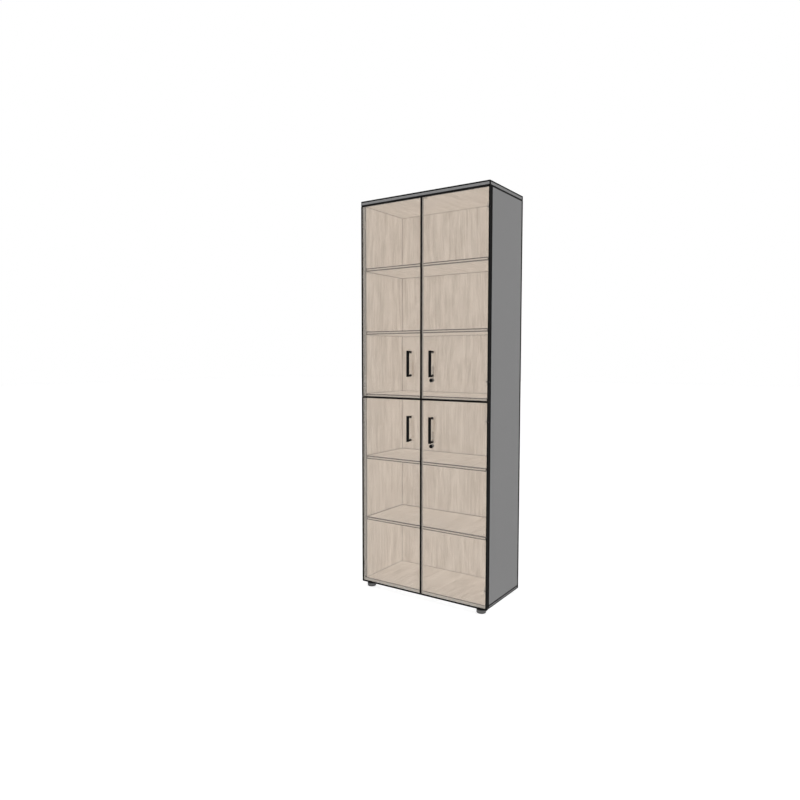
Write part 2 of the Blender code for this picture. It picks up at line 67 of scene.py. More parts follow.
# Colours, linear
white = (1.0, 1.0, 1.0)
floor_pale = (0.93, 0.93, 0.93)
grey_laminate = (0.246, 0.246, 0.248)
# top_front_grey_painted_light: the grey laminate made lighter on the top's front face, as painted light that
# makes up for the weaker fill on front faces
top_front_grey_painted_light = (0.270, 0.270, 0.272)
front_band = (0.430, 0.400, 0.360)
# lower_band_painted_light: the front band made lighter on the bottom's front, as painted light against the
# shade between the lower doors and the carcass
lower_band_painted_light = (0.520, 0.485, 0.445)
# arris_line_and_painted_shade: the dark edge lines, and also painted shade on the boards' faces before the
# carcass, over and under the doors
arris_line_and_painted_shade = (0.006, 0.006, 0.006)
oak_light = (0.755, 0.694, 0.632)
oak_dark = (0.552, 0.487, 0.427)
oak_knot = (0.440, 0.380, 0.322)
# oak_line_and_corner_shade: brown lines at the oak's front edges, and also painted shade in the inside
# corners
oak_line_and_corner_shade = (0.110, 0.085, 0.062)
# shelf_line: dark lines along the shelves' edges, which are painted shade where a shelf meets the walls and
# back
shelf_line = (0.036, 0.022, 0.012)
# shelf_band_and_painted_shade: the shelves' front edge band, made darker than the oak as painted shade
# against the fuller light on the front
shelf_band_and_painted_shade = (0.620, 0.552, 0.486)
hinge_block_beige = (0.560, 0.500, 0.440)
frame_grey = (0.290, 0.275, 0.255)
glass_tint = (0.985, 0.978, 0.965)
glass_haze = (0.62, 0.56, 0.50)
mirror_tint = (1.0, 0.97, 0.93)
satin_black = (0.003, 0.003, 0.003)
zinc = (0.62, 0.61, 0.59)
nickel = (0.50, 0.455, 0.405)
catch_beige = (0.50, 0.43, 0.36)
foot_grey = (0.125, 0.125, 0.125)
# rubber_black_and_slot_shade: the trim's rubber and the brackets' arms, and also painted shade in the
# frames' hinge slots
rubber_black_and_slot_shade = (0.004, 0.004, 0.004)

# A colour's darkest and lightest shade, as shares of it
laminate_shades = (0.985, 1.015)
rear_shades = (0.97, 1.0)
coat_shades = (0.94, 1.05)
plate_shades = (0.96, 1.0)
steel_shades = (0.90, 1.0)
moulded_shades = (0.90, 1.08)
black_shades = (1.0, 2.2)

# Finishes: least and most roughness, specular level, depth of the fine relief and its strength
Finish = namedtuple("Finish", "smooth rough specular relief strength")
oak_finish = Finish(0.48, 0.60, 0.12, 0.0001, 0.6)
laminate_finish = Finish(0.52, 0.60, 0.03, 0.00008, 0.5)
coat_finish = Finish(0.40, 0.53, 0.35, 0.00004, 0.6)
bracket_finish = Finish(0.54, 0.66, 0.06, 0.00003, 0.5)
black_finish = Finish(0.34, 0.48, 0.07, 0.00003, 0.5)
zinc_finish = Finish(0.30, 0.46, 0.5, 0.00002, 0.4)
nickel_finish = Finish(0.49, 0.65, 0.5, 0.00002, 0.4)
rubber_finish = Finish(0.54, 0.66, 0.04, 0.00005, 0.5)
catch_finish = Finish(0.44, 0.56, 0.5, 0.00005, 0.5)
foot_finish = Finish(0.44, 0.56, 0.2, 0.00005, 0.5)

# Noise patterns, each with its scale and its detail
laminate_cloud = (3.5, 3)
laminate_grain = (900.0, 2)
coat_cloud = (14.0, 3)
coat_peel = (1400.0, 2)
hand_marks = (38.0, 3)
steel_spangle = (120.0, 3)
moulded_cloud = (45.0, 3)
moulded_skin = (1100.0, 2)
glass_smear = (2.0, 3)
drawn_noise = (1.0, 3)

# How far the coordinates of drawn-out patterns are scaled along each axis
scuff_stretch = (9.0, 9.0, 60.0)
rubbed_stretch = (900.0, 900.0, 60.0)
brushed_stretch = (1800.0, 1800.0, 160.0)
smear_stretch = (3.0, 3.0, 1.2)

# The stretch of a noise, or of a surface's turn, over which something sets in
noise_reach = (0.2, 0.8)
cloud_reach = (0.3, 0.7)
laminate_reach = (0.25, 0.75)
fleck_reach = (0.45, 0.75)
scuff_reach = (0.60, 0.75)
hand_reach = (0.5, 0.8)
smear_reach = (0.35, 0.75)
facing_reach = (0.85, 0.97)
fleck_share = 0.10
scuff_share = 0.05

# Glass: how much of it is haze, and how much it mirrors face on and edge on
haze_share = 0.12
haze_range_shares = (0.94, 1.06)
haze_roughness = 0.6
mirror_least = 0.045
mirror_most = 0.95
mirror_power = 5.0
mirror_roughness = 0.02
mirror_blend = 0.5

# Layers of the oak: stretch along the grain, then the noise's scale, detail and distortion, and its gain
Layer = namedtuple("Layer", "stretch scale detail distortion gain")
oak_sway = Layer(0.45, 2.2, 2, 0.0, 0.10)
oak_layers = (
    Layer(0.05, 14.0, 2, 0.0, 0.9),
    Layer(0.10, 46.0, 4, 0.5, 1.6),
    Layer(0.03, 130.0, 2, 0.0, 2.0),
    Layer(0.35, 26.0, 3, 0.4, 1.4),
)
oak_fibres = Layer(0.012, 420.0, 2, 0.0, 0.35)
oak_arches = Layer(0.16, 5.0, 1, 0.0, 0.06)
arch_turns = 70.0
knot_ripples = Layer(1.8, 60.0, 2, 1.0, 1.4)

# Knots: their stretch and scale, and the distances over which halo and core set in, in cells
knot_stretch = 0.35
knot_scale = 6.0
knot_halo = (0.32, 0.05)
knot_core = (0.10, 0.02)
knot_strength = 0.6

# The oak's middle tone, and how strong its grain is on level boards
oak_middle = 0.46
flat_grain = 0.75

# Dark lines along the boards' edges, and faint painted shade where boards meet inside
across_line = 0.0046
depth_line = 0.0085
upright_line = 0.0050
outline_width = 0.0088
rear_outline = 0.0180
joint_line = 0.0038
lower_outline = 0.0076
side_foot_line = 0.0050
shelf_line_width = 0.0064
front_line_width = 0.0060
front_line_share = 0.80
# Painted shade along the inside corners: its width, and how dark it is
corner_shade_width = 0.0058
corner_shade_share = 0.50
line_core_share = 0.85
foot_line_width = 0.0080
board_margin = 0.0004

# Trim round each door, over the pane's edge and the frame's outer side
trim_lip = 0.0043
trim_left_lip = 0.0105
trim_right_lip = 0.0060
trim_top_lip = 0.0050
trim_split_lip = 0.0034
trim_base_lip = 0.0088
trim_skin = 0.0003
trim_gap = 0.00005

# Slots for the hinge arms, the beige hinge blocks and the brackets' plates
slot_half = 0.0030
slot_reach = 0.0009
slot_overrun = 0.0043
slot_shade_half = 0.0029
hinge_block_half = 0.0205
hinge_block_edge_x = 0.3943
plate_dark_x = 0.3940
bracket_blend = 0.0010

# Small fasteners, with their outlines as shares of their radius and of their depth
washer_radius = 0.0075
washer_thickness = 0.0014
washer_shares = [(0, 0), (1, 0), (1, 0.7), (0.93, 1), (0, 1)]
screw_head_radius = 0.0045
screw_head_height = 0.0024
screw_head_shares = [(0, 0), (1, 0), (1, 0.45), (0.86, 0.82), (0.6, 0.97), (0, 1)]
cross_length = 0.0052
cross_width = 0.0010
cross_depth = 0.0012
flush_head_radius = 0.0034
flush_head_height = 0.0003
flush_head_shares = [(0, 0), (1, 0), (0.94, 1), (0.30, 1), (0.26, 0.3), (0, 0.3)]
flush_head_steps = 24
hinge_screw_z = 0.014
catch_screw_x = 0.0145
nut_radius = 0.0058
nut_thickness = 0.0016
nut_shares = [(0, 0), (1, 0), (1, 0.8), (0.88, 1), (0, 1)]
nut_sides = 6
foot_disc_z = 0.022
seat = 0.00005
weld = 0.000001
round_steps = 32
smooth_angle_deg = 35
height_digits = 5

# Axes and directions
x_axis, y_axis, z_axis = range(3)
to_left = (-1, 0, 0)
to_right = (1, 0, 0)
forward = (0, -1, 0)
backward = (0, 1, 0)
up = (0, 0, 1)
down = (0, 0, -1)

# Pieces, and places on the carcass and the hinges, from the frame
rows = ("upper", "lower")
doors = [f"{row}_{side}_door" for row in rows for side in ("left", "right")]
shelves = [name for name in nodes if "shelf" in name and "pin" not in name]
brackets = [name for name in nodes if name.endswith("_hinge_bracket")]
bracket_boxes = [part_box(name) for name in brackets]
hinge_heights = sorted({round((low.z + high.z) / 2, height_digits) for low, high in bracket_boxes})
side_low, side_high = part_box("side_panel_right")
bottom_low, bottom_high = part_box("bottom_panel")
inner_x = side_low.x
hinge_plate_x = (side_low.x + side_high.x) / 2
carcass_front_y = side_low.y
back_face_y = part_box("back_panel")[0].y
bottom_middle_z = (bottom_low.z + bottom_high.z) / 2
board_levels = [bottom_high.z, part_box("top_panel")[0].z]
board_levels += [corner.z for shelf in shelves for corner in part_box(shelf)]

# Widths of the dark lines, for each axis at its low and its high end
side_widths = ((across_line, across_line), (depth_line, rear_outline), (side_foot_line, upright_line))
top_widths = ((across_line, across_line), (depth_line, rear_outline), (upright_line, outline_width))
bottom_widths = ((across_line, across_line), (depth_line, rear_outline), (lower_outline, joint_line))
# At a shelf's ends and back its lines are painted shade in the corners with the walls and back
shelf_widths = ((corner_shade_width, corner_shade_width), (front_line_width, corner_shade_width),
                (shelf_line_width, shelf_line_width))


def shade(colour, share):
    """A colour made darker or lighter."""
    return tuple(part * share for part in colour)


class Look:
    """A new material, with a short call for each kind of node in it."""

    def __init__(self, name, colour=None, roughness=0.5, metallic=0.0):
        self.material = bpy.data.materials.new(name)
        self.material.use_nodes = True
        self.tree = self.material.node_tree
        self.shader = self.tree.nodes["Principled BSDF"]
        if colour:
            self.put(self.shader.inputs["Base Color"], colour)
        self.put(self.shader.inputs["Roughness"], roughness)
        self.put(self.shader.inputs["Metallic"], metallic)
        coordinates = self.tree.nodes.new("ShaderNodeTexCoord").outputs
        self.place = coordinates["Object"]
        self.normal = coordinates["Normal"]

    def put(self, socket, value):
        """A link, or a plain value, into one input."""
        if isinstance(value, bpy.types.NodeSocket):
            self.tree.links.new(value, socket)
        elif isinstance(value, tuple) and len(value) == 3 and socket.type == "RGBA":
            socket.default_value = (*value, 1)
        else:
            socket.default_value = value

    def node(self, kind, inputs, **settings):
        """Any node, with its settings and inputs."""
        made = self.tree.nodes.new(kind)
        for key, value in settings.items():
            setattr(made, key, value)
        for key, value in inputs.items():
            self.put(made.inputs[key], value)
        return made

    def value(self, operation, *inputs, clamp=False):
        """A sum on numbers."""
        return self.node("ShaderNodeMath", dict(enumerate(inputs)), operation=operation,
                         use_clamp=clamp).outputs[0]

    def times(self, first, *others):
        """The product of several numbers."""
        for other in others:
            first = self.value("MULTIPLY", first, other)
        return first

    def opposite(self, value):
        """What a share leaves of 1."""
        return self.value("SUBTRACT", 1.0, value)

    def about_zero(self, value, gain):
        """Noise from 0 to 1, moved to lie about 0 and multiplied."""
        return self.times(self.value("SUBTRACT", value, 0.5), gain)

    def stretch(self, place, scales):
        """Coordinates scaled along each axis."""
        return self.node("ShaderNodeVectorMath", {0: place, 1: scales},
                         operation="MULTIPLY").outputs[0]

    def shift(self, place, offset):
        """Coordinates moved by a vector."""
        return self.node("ShaderNodeVectorMath", {0: place, 1: offset}, operation="ADD").outputs[0]

    def apart(self, place):
        """The three coordinates of a place."""
        return self.node("ShaderNodeSeparateXYZ", {0: place}).outputs

    def noise(self, place, scale, detail, distortion=0.0):
        """Smooth noise from about 0 to 1."""
        return self.node("ShaderNodeTexNoise", {"Vector": place, "Scale": scale, "Detail": detail,
                                                "Distortion": distortion}).outputs[0]

    def spots(self, place, scale):
        """Distance to the nearest of scattered points, in cells."""
        return self.node("ShaderNodeTexVoronoi", {"Vector": place, "Scale": scale}).outputs[0]

    def ramp(self, value, low, high, start=0.0, end=1.0):
        """A value mapped from one range to another, smoothly and clamped."""
        made = self.node("ShaderNodeMapRange", {"Value": value, "From Min": low, "From Max": high,
                                                "To Min": start, "To Max": end},
                         interpolation_type="SMOOTHSTEP")
        return made.outputs[0]

    def mix(self, factor, first, second):
        """A mix of two colours. The node keeps its colours in sockets 6 and 7, and gives them at 2."""
        return self.node("ShaderNodeMix", {0: factor, 6: first, 7: second}, data_type="RGBA").outputs[2]

    def mix_numbers(self, factor, first, second):
        """A mix of two numbers. The node keeps them in sockets 2 and 3."""
        return self.node("ShaderNodeMix", {0: factor, 2: first, 3: second}).outputs[0]

    def shaded(self, noise, colour, shades, reach=cloud_reach):
        """A colour that a noise turns from its darker to its lighter shade."""
        darker, lighter = shades
        return self.mix(self.ramp(noise, *reach), shade(colour, darker), shade(colour, lighter))

    def facing(self, direction):
        """1 where the surface faces a direction, 0 elsewhere."""
        turned_to = self.node("ShaderNodeVectorMath", {0: self.normal, 1: direction},
                              operation="DOT_PRODUCT").outputs["Value"]
        return self.ramp(turned_to, *facing_reach)

    def near(self, coordinate, places, width):
        """1 where a coordinate lies at one of several places, fading to 0 over a width."""
        nearest = width
        for place in places:
            distance = self.value("ABSOLUTE", self.value("SUBTRACT", coordinate, place))
            nearest = self.value("MINIMUM", nearest, distance)
        return self.ramp(nearest, width, 0)

    def within(self, coordinate, places, half):
        """1 where a coordinate lies no further than half a width from one of several places."""
        return self.value("GREATER_THAN", self.near(coordinate, places, half * 2), 0.5)

    def arris(self, node_name, widths):
        """1 along a board's outer edges; the widths are (at the low end, at the high end) for each axis."""
        low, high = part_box(node_name)
        parts = self.apart(self.place)
        a, b, c = [self.value(
            "MINIMUM",
            self.value("DIVIDE", self.value("SUBTRACT", parts[i], low[i]), widths[i][0]),
            self.value("DIVIDE", self.value("SUBTRACT", high[i], parts[i]), widths[i][1]))
            for i in range(3)]
        smaller = self.value("MINIMUM", a, b)
        larger = self.value("MAXIMUM", a, b)
        second = self.value("MAXIMUM", smaller, self.value("MINIMUM", larger, c))
        return self.ramp(second, 1.0, line_core_share)

    def finish(self, colour, fine, kind, reach=noise_reach, relief=None):
        """The colour, with roughness that follows a fine noise, and relief from it or from another."""
        inputs = self.shader.inputs
        self.put(inputs["Base Color"], colour)
        self.put(inputs["Roughness"], self.ramp(fine, *reach, kind.smooth, kind.rough))
        self.put(inputs["Specular IOR Level"], kind.specular)
        height = fine if relief is None else relief
        bump = self.node("ShaderNodeBump", {"Height": height, "Distance": kind.relief,
                                            "Strength": kind.strength})
        self.put(inputs["Normal"], bump.outputs[0])
        return self.material

    def surface(self, shader):
        """Another shader than the usual one on the surface."""
        self.put(self.tree.nodes["Material Output"].inputs["Surface"], shader)
        return self.material


def oak(look, along, across):
    """Pale oak with its grain along one axis, on faces across another: colour, and height for relief."""
    def drawn_out(share, depth=1.0):
        return tuple(share if i == along else depth if i == across else 1.0 for i in range(3))

    def noise(place, layer):
        return look.noise(look.stretch(place, drawn_out(layer.stretch)), layer.scale, layer.detail,
                          layer.distortion)

    sway = look.about_zero(noise(look.place, oak_sway), oak_sway.gain)
    place = look.shift(look.place, look.node(
        "ShaderNodeCombineXYZ", {i: sway for i in range(3) if i != along}).outputs[0])
    tone = 0.0
    for layer in oak_layers:
        tone = look.value("ADD", tone, look.about_zero(noise(place, layer), layer.gain))
    fibres = noise(place, oak_fibres)
    tone = look.value("ADD", tone, look.about_zero(fibres, oak_fibres.gain))
    rings = look.value("SINE", look.times(noise(place, oak_arches), arch_turns))
    tone = look.value("ADD", tone, look.times(rings, oak_arches.gain))
    knots = look.spots(look.stretch(place, drawn_out(knot_stretch, 0.0)), knot_scale)
    ripples = look.about_zero(noise(place, knot_ripples), knot_ripples.gain)
    tone = look.value("ADD", tone, look.times(look.ramp(knots, *knot_halo), ripples))
    if across == z_axis:
        tone = look.times(tone, flat_grain)
    grained = look.mix(look.value("ADD", tone, oak_middle, clamp=True), oak_light, oak_dark)
    return look.mix(look.ramp(knots, *knot_core, 0.0, knot_strength), grained, oak_knot), fibres


def corner_shade(look, across):
    """Painted shade in the inside corners of the carcass, on a board whose faces look along one axis."""
    places = {x_axis: (-inner_x, inner_x), y_axis: (back_face_y,), z_axis: board_levels}
    parts = look.apart(look.place)
    line = 0.0
    for axis in range(3):
        if axis != across:
            line = look.value("MAXIMUM", line, look.near(parts[axis], places[axis], corner_shade_width))
    return look.times(line, corner_shade_share)


def shelf_board(name):
    """A shelf in oak: its front edge band painted darker as shade against the fuller light there, brown
    lines along its edges that are painted shade where it meets the walls and back, and faint painted shade
    in the corners.
    """
    look = Look("oak_" + name)
    colour, fibres = oak(look, y_axis, z_axis)
    # The front edge band, darker as painted shade
    colour = look.mix(look.facing(forward), colour, shelf_band_and_painted_shade)
    flat = look.value("MAXIMUM", look.facing(up), look.facing(down))
    # Painted shade where the shelf's top and underside meet the walls and back
    colour = look.mix(look.times(corner_shade(look, z_axis), flat), colour, oak_line_and_corner_shade)
    colour = look.mix(look.arris(name, shelf_widths), colour, shelf_line)
    return look.finish(colour, fibres, oak_finish)


def back_board(name):
    """The back, in oak with faint painted shade in the corners, and grey behind."""
    look = Look("oak_" + name)
    wood, fibres = oak(look, z_axis, y_axis)
    grey = look.shaded(look.noise(look.place, *laminate_cloud), grey_laminate, rear_shades)
    colour = look.mix(look.facing(backward), wood, grey)
    # Painted shade along the back's inside corners
    corner = look.times(corner_shade(look, y_axis), look.facing(forward))
    return look.finish(look.mix(corner, colour, oak_line_and_corner_shade), fibres, oak_finish)


def lined_oak(look, along, across):
    """The oak side of an outer board, with lines at its front, painted shade in its corners and near-black
    painted shade before the carcass: colour, and fibres.
    """
    wood, fibres = oak(look, along, across)
    depth = look.apart(look.place)[y_axis]
    front = look.times(look.near(depth, (carcass_front_y,), front_line_width), front_line_share)
    # A brown line at the front, and painted shade in the corners
    wood = look.mix(look.value("MAXIMUM", front, corner_shade(look, across)), wood, oak_line_and_corner_shade)
    # Painted shade, near black, on the face before the carcass: under the top's overhang and on the bottom
    # beneath the lower doors
    painted_overhang_shade = look.value("LESS_THAN", depth, carcass_front_y - seat)
    return look.mix(painted_overhang_shade, wood, arris_line_and_painted_shade), fibres


def outer_line(look, name, widths, inner, behind_trim_z):
    """The dark lines at a board's outer edges, a little scuffed, and none low on a front behind the trim."""
    scuffs = look.ramp(look.noise(look.stretch(look.place, scuff_stretch), *drawn_noise), *scuff_reach)
    worn = look.opposite(look.times(scuffs, scuff_share))
    line = look.times(look.arris(name, widths), look.opposite(inner), worn)
    if behind_trim_z is not None:
        low = look.value("LESS_THAN", look.apart(look.place)[z_axis], behind_trim_z)
        line = look.times(line, look.opposite(look.times(look.facing(forward), low)))
    return line


def two_tone_board(name, along, across, inside, front_colour, widths, behind_trim_z=None):
    """Grey outside, oak inside, a band on the front edge and dark lines at the outer edges."""
    look = Look("laminate_" + name)
    wood, fibres = lined_oak(look, along, across)
    cloud = look.noise(look.place, *laminate_cloud)
    grain = look.noise(look.place, *laminate_grain)
    grey = look.shaded(cloud, grey_laminate, laminate_shades)
    grey = look.mix(look.times(look.ramp(grain, *fleck_reach), fleck_share), grey, oak_light)
    reach = look.value("ABSOLUTE", look.apart(look.place)[x_axis])
    inner = look.times(look.facing(inside), look.value("LESS_THAN", reach, inner_x + board_margin))
    # The front colour is the edge band; on the top and bottom boards it is made lighter as painted light
    colour = look.mix(look.facing(forward), look.mix(inner, grey, wood), front_colour)
    colour = look.mix(outer_line(look, name, widths, inner, behind_trim_z), colour, arris_line_and_painted_shade)
    relief = look.mix_numbers(inner, grain, fibres)
    return look.finish(colour, cloud, laminate_finish, laminate_reach, relief)


def door_glass():
    """Clear glass with a faint warm haze, mirrored more at a flat angle."""
    look = Look("door_glass", glass_haze, haze_roughness)
    least, most = [haze_share * share for share in haze_range_shares]
    smear = look.ramp(look.noise(look.stretch(look.place, smear_stretch), *glass_smear), *smear_reach,
                      least, most)
    edge_on = look.node("ShaderNodeLayerWeight", {"Blend": mirror_blend}).outputs["Facing"]
    mirrored = look.value("ADD", look.times(look.value("POWER", edge_on, mirror_power), mirror_most),
                          mirror_least)
    clear = look.node("ShaderNodeBsdfTransparent", {"Color": glass_tint}).outputs[0]
    mirror = look.node("ShaderNodeBsdfGlossy", {"Color": mirror_tint,
                                                "Roughness": mirror_roughness}).outputs[0]
    pane = look.node("ShaderNodeMixShader", {0: mirrored, 1: clear, 2: mirror}).outputs[0]
    hazy = look.node("ShaderNodeMixShader", {0: smear, 1: pane, 2: look.shader.outputs[0]}).outputs[0]
    return look.surface(hazy)


def frame_coat():
    """Grey powder coat with fine orange peel, beige on the right-hand hinge blocks, and painted shade, near
    black, in their slots.
    """
    look = Look("frame_coat")
    peel = look.noise(look.place, *coat_peel)
    coat = look.shaded(look.noise(look.place, *coat_cloud), frame_grey, coat_shades)
    across, _, height = look.apart(look.place)
    at_right = look.value("GREATER_THAN", across, hinge_block_edge_x / 2)
    block = look.times(look.value("LESS_THAN", across, hinge_block_edge_x), at_right,
                       look.within(height, hinge_heights, hinge_block_half))
    coat = look.mix(block, coat, hinge_block_beige)
    # Painted shade, near black, in the hinge slots on the right
    painted_slot_shade = look.times(look.within(height, hinge_heights, slot_shade_half), at_right)
    return look.finish(look.mix(painted_slot_shade, coat, rubber_black_and_slot_shade), peel, coat_finish)


def bracket_coat():
    """Hinge brackets: the plate lacquered like the panel's edge, the arm and pin dark."""
    look = Look("bracket_coat")
    across, depth, _ = look.apart(look.place)
    edge = look.value("GREATER_THAN", look.value("ABSOLUTE", across), plate_dark_x)
    plate = look.times(look.ramp(depth, carcass_front_y - bracket_blend, carcass_front_y),
                       look.opposite(edge))
    peel = look.noise(look.place, *coat_peel)
    pale = look.shaded(peel, front_band, plate_shades)
    return look.finish(look.mix(plate, rubber_black_and_slot_shade, pale), peel, bracket_finish)


def black_metal():
    """Satin black handle and lock finish, rubbed a little along its length."""
    look = Look("satin_black")
    rubbed = look.noise(look.stretch(look.place, rubbed_stretch), *drawn_noise)
    colour = look.shaded(look.noise(look.place, *hand_marks), satin_black, black_shades, hand_reach)
    return look.finish(colour, rubbed, black_finish)


def plated_steel(name, colour, kind):
    """Plated steel with a soft brushed grain."""
    look = Look(name, metallic=1.0)
    brushed = look.noise(look.stretch(look.place, brushed_stretch), *drawn_noise)
    plating = look.shaded(look.noise(look.place, *steel_spangle), colour, steel_shades)
    return look.finish(plating, brushed, kind)


def moulded(name, colour, kind, rims=()):
    """Moulded plastic or rubber with a fine matt texture, darker at the heights of its rims."""
    look = Look(name)
    tone = look.shaded(look.noise(look.place, *moulded_cloud), colour, moulded_shades)
    if rims:
        tone = look.mix(look.near(look.apart(look.place)[z_axis], rims, foot_line_width), tone,
                        arris_line_and_painted_shade)
    return look.finish(tone, look.noise(look.place, *moulded_skin), kind)


def paint(node_name, material):
    """A carried-over node takes a new material in its slots."""
    mesh = nodes[node_name].data
    if not mesh.materials:
        mesh.materials.append(material)
    for index in range(len(mesh.materials)):
        mesh.materials[index] = material


def into_scene(name, data):
    """A new object in the scene."""
    made = bpy.data.objects.new(name, data)
    bpy.context.scene.collection.objects.link(made)
    return made


def mesh_from(name, shape):
    """A mesh from a bmesh, which is freed."""
    mesh = bpy.data.meshes.new(name)
    shape.to_mesh(mesh)
    shape.free()
    return mesh


def piece(name, shape, material, body):
    """A new visible piece from a bmesh, riding on a body."""
    mesh = mesh_from(name, shape)
    mesh.materials.append(material)
    mesh.shade_smooth()
    mesh.set_sharp_from_angle(angle=math.radians(smooth_angle_deg))
    made = into_scene(name, mesh)
    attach(made, body)
    return made


def turned(shares, radius, depth, place=(0, 0, 0), steps=round_steps):
    """A solid turned about an axis along +Y, from an outline in shares of its radius and its depth."""
    shape = bmesh.new()
    points = [shape.verts.new((out * radius, back * depth, 0)) for out, back in shares]
    edges = [shape.edges.new(pair) for pair in zip(points, points[1:])]
    bmesh.ops.spin(shape, geom=points + edges, cent=(0, 0, 0), axis=(0, 1, 0), angle=math.tau,
                   steps=steps, use_merge=True, use_duplicate=False)
    bmesh.ops.remove_doubles(shape, verts=shape.verts, dist=weld)
    bmesh.ops.recalc_face_normals(shape, faces=shape.faces)
    bmesh.ops.translate(shape, vec=place, verts=shape.verts)
    return shape


def join_rings(shape, first, second):
    """A band of faces between two closed rings of as many points."""
    for i in range(len(first)):
        j = (i + 1) % len(first)
        shape.faces.new((first[i], first[j], second[j], second[i]))


def add_box(shape, low, high):
    """A box between two corners, added to a shape."""
    low = Vector(low)
    high = Vector(high)
    made = bmesh.ops.create_cube(shape, size=1)["verts"]
    bmesh.ops.scale(shape, vec=high - low, verts=made)
    bmesh.ops.translate(shape, vec=(low + high) / 2, verts=made)


def merged(shapes):
    """One bmesh of several, which are freed."""
    whole = bmesh.new()
    for shape in shapes:
        part = mesh_from("part", shape)
        whole.from_mesh(part)
        bpy.data.meshes.remove(part)
    return whole


def cut(obj, shape):
    """A Boolean cut, applied, so that no helper stays in the scene."""
    helper = into_scene("cut", mesh_from("cut", shape))
    modifier = obj.modifiers.new("cut", "BOOLEAN")
    modifier.operation = "DIFFERENCE"
    modifier.solver = "EXACT"
    modifier.object = helper
    graph = bpy.context.evaluated_depsgraph_get()
    done = bpy.data.meshes.new_from_object(obj.evaluated_get(graph))
    obj.modifiers.clear()
    obj.data = done
    bpy.data.objects.remove(helper)


def cross_recess(place):
    """The cross cut in a screw's face, whose face lies at the place."""
    x, y, z = place
    arm = cross_length / 2
    side = cross_width / 2
    outline = []
    for a, b in ((1, 0), (0, 1), (-1, 0), (0, -1)):
        for along, beside in ((arm, side), (side, side), (side, arm)):
            outline.append((a * along - b * beside, b * along + a * beside))
    shape = bmesh.new()
    near, far = [[shape.verts.new((x + across, level, z + height)) for across, height in outline]
                 for level in (y - cross_depth, y + cross_depth)]
    shape.faces.new(near)
    shape.faces.new(far)
    join_rings(shape, near, far)
    bmesh.ops.recalc_face_normals(shape, faces=shape.faces)
    return shape


def trim_profile(pane_low, frame_low, frame_high):
    """The trim's section: whether a point lies at the lip's inner edge, its place outwards, its depth."""
    front = pane_low.y - trim_gap - trim_skin
    lip_back = pane_low.y - trim_gap
    frame_side = pane_low.x - frame_low.x + trim_gap
    return [
        (1, 0, lip_back),
        (1, 0, front + trim_skin / 2),
        (1, trim_skin / 2, front),
        (0, trim_gap, front),
        (0, trim_gap + trim_skin, front + trim_skin),
        (0, trim_gap + trim_skin, frame_high.y),
        (0, frame_side, frame_high.y),
        (0, frame_side, frame_low.y),
        (0, trim_gap, frame_low.y),
        (0, trim_gap, lip_back),
    ]


def trim_shape(row, side, pane, frame_box):
    """The trim round a door, as a ring of four mitred lengths."""
    pane_low, pane_high = pane
    profile = trim_profile(pane_low, *frame_box)
    left_lip, right_lip = {"left": (trim_left_lip, trim_lip), "right": (trim_lip, trim_right_lip)}[side]
    base_lip = {"upper": trim_split_lip, "lower": trim_base_lip}[row]
    shape = bmesh.new()
    rings = []
    for right, top in ((0, 0), (1, 0), (1, 1), (0, 1)):
        side_lip = right_lip if right else left_lip
        end_lip = trim_top_lip if top else base_lip
        ring = []
        for at_lip, out, y in profile:
            out_x = out - at_lip * side_lip
            out_z = out - at_lip * end_lip
            x = pane_high.x + out_x if right else pane_low.x - out_x
            z = pane_high.z + out_z if top else pane_low.z - out_z
            ring.append(shape.verts.new((x, y, z)))
        rings.append(ring)
    for ring, following in zip(rings, rings[1:] + rings[:1]):
        join_rings(shape, ring, following)
    bmesh.ops.recalc_face_normals(shape, faces=shape.faces)
    return shape


def add_trim(door, material):
    """A black trim round a door: a thin lip on the pane's face, and a band over the door's edge."""
    row, side, _ = door.split("_")
    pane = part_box(door + "_glass")
    frame_low, frame_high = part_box(door + "_frame")
    shape = trim_shape(row, side, pane, (frame_low, frame_high))
    trim = piece(door + "_edge_trim", shape, material, door)
    hinge_x = pane[1].x if side == "right" else pane[0].x
    slots = bmesh.new()
    for end in ("bottom", "top"):
        low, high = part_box(f"{row}_{side}_{end}_hinge_bracket")
        middle = (low.z + high.z) / 2
        add_box(slots, (hinge_x - slot_overrun, frame_low.y - slot_reach, middle - slot_half),
                (hinge_x + slot_overrun, frame_high.y + slot_overrun, middle + slot_half))
    cut(trim, slots)


def add_handle_fixings(door, washer_material, screw_material):
    """Behind the pane, a washer and a screw for each handle post."""
    handle_low, handle_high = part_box(door + "_handle")
    x = (handle_low.x + handle_high.x) / 2
    bar_radius = (handle_high.x - handle_low.x) / 2
    washer_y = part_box(door + "_glass")[1].y + seat
    head_y = washer_y + washer_thickness + seat
    ends = (handle_low.z + bar_radius, handle_high.z - bar_radius)
    washers = [turned(washer_shares, washer_radius, washer_thickness, (x, washer_y, z)) for z in ends]
    heads = [turned(screw_head_shares, screw_head_radius, screw_head_height, (x, head_y, z))
             for z in ends]
    recesses = [cross_recess((x, head_y + screw_head_height, z)) for z in ends]
    piece(door + "_handle_washers", merged(washers), washer_material, door)
    screws = piece(door + "_handle_screws", merged(heads), screw_material, door)
    cut(screws, merged(recesses))


def add_lock_nut(row, material):
    """A hexagon nut that holds the cam on its shank."""
    low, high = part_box(f"{row}_lock_barrel")
    place = ((low.x + high.x) / 2, high.y + seat, (low.z + high.z) / 2)
    shape = turned(nut_shares, nut_radius, nut_thickness, place, nut_sides)
    piece(f"{row}_lock_nut", shape, material, f"{row}_lock")


